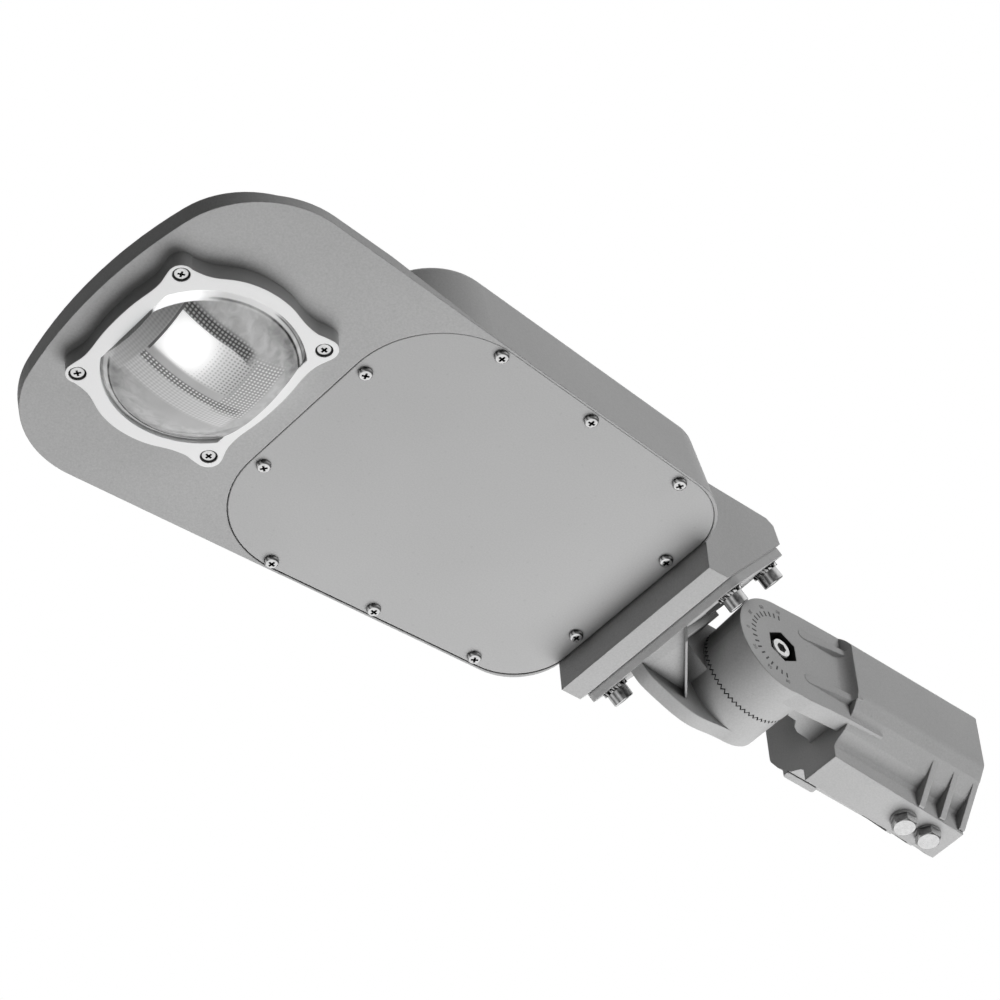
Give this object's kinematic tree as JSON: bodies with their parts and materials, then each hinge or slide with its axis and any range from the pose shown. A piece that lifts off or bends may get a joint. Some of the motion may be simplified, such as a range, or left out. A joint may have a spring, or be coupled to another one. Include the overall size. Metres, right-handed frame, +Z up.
{
  "type": "led street light head",
  "caption": "Street lamp head: flat cast housing with a domed glass lens and a screwed service cover, on a toothed tilting knuckle with a pole spigot clamp.",
  "frame": {"origin": "on the axis of the pole spigot socket, at its mouth", "axes": "+X from the pole towards the nose, +Z up when the head hangs level, light leaves along -Z"},
  "size_m": [0.6081, 0.2216, 0.1132],
  "materials": {
    "clamp_casting": "fine textured silver-grey powder coat",
    "bracket_casting": "fine textured silver-grey powder coat",
    "housing_casting": "fine textured silver-grey powder coat",
    "cover_sheet": "fine textured silver-grey powder coat",
    "lens_frame_casting": "smooth pale silver coat",
    "stainless": "bright stainless steel",
    "washer_steel": "dark stainless steel",
    "gasket": "matt black silicone",
    "grommet": "matt black rubber",
    "lens_glass": "clear pressed glass with a fine prismatic pattern",
    "reflector_metal": "bright anodised aluminium",
    "led_board": "white board with a pale yellow light field",
    "holder_plastic": "white plastic",
    "driver_case": "plain aluminium case",
    "terminal_plastic": "off-white plastic",
    "protector_case": "black plastic"
  },
  "bodies": {
    "clamp": {"spigot_clamp": "clamp_casting", "clamp_bolts": "stainless", "pivot_bolt": "stainless", "pivot_washer": "stainless", "pivot_nut": "stainless"},
    "head": {"adapter_bracket": "bracket_casting", "flange_gasket": "gasket", "flange_bolts": "stainless", "flange_lock_washers": "washer_steel", "wire_grommet": "grommet", "housing": "housing_casting", "service_cover": "cover_sheet", "cover_gasket": "gasket", "cover_screws": "stainless", "lens_frame": "lens_frame_casting", "lens_frame_screws": "stainless", "lens_gasket": "gasket", "glass_lens": "lens_glass", "reflector": "reflector_metal", "led_array": "led_board", "led_holder": "holder_plastic", "led_driver": "driver_case", "driver_screws": "stainless", "terminal_block": "terminal_plastic", "surge_protector": "protector_case"}
  },
  "joints": [
    {"name": "tilt", "type": "hinge", "parent": "clamp", "child": "head", "pos_m": [0.1485, 0, -0.0055], "axis": [0, 1, 0], "range_deg": [-12, 60]}
  ]
}
